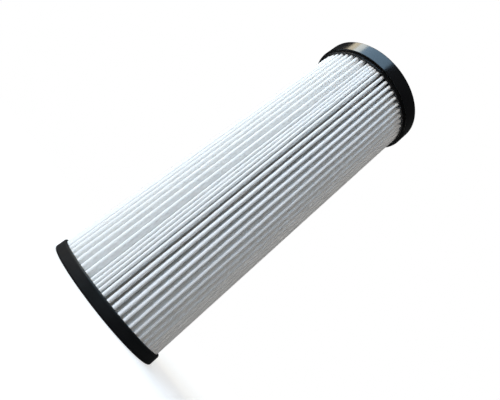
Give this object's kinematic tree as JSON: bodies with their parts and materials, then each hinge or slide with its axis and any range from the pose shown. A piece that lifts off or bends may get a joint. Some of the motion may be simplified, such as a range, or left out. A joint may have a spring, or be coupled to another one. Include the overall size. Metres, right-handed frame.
{
  "type": "vacuum filter",
  "caption": "Cylindrical pleated filter cartridge with a closed base cap, a lattice core and an open flanged cap that a vacuum cleaner draws clean air through.",
  "frame": {"origin": "centre of the closed cap's underside, on the surface that the cartridge stands on", "axes": "+Z along the cartridge's axis, from the closed cap to the open flange; X and Y across it"},
  "size_m": [0.0786, 0.0786, 0.2108],
  "materials": {
    "filter_paper": "bluish white non-woven filter paper, fibrous and matte",
    "core_plastic": "moulded black plastic, matte",
    "cap_plastic": "moulded black plastic, fine matte grain",
    "flange_plastic": "moulded black plastic, smooth and glossy",
    "adhesive": "set cream adhesive, softly glossy",
    "seal_rubber": "black rubber, matte"
  },
  "bodies": {
    "root": {"pleated_media": "filter_paper", "inner_core": "core_plastic", "base_cap": "cap_plastic", "flange_cap": "flange_plastic", "base_adhesive": "adhesive", "flange_adhesive": "adhesive", "seal_ring": "seal_rubber"}
  },
  "joints": []
}
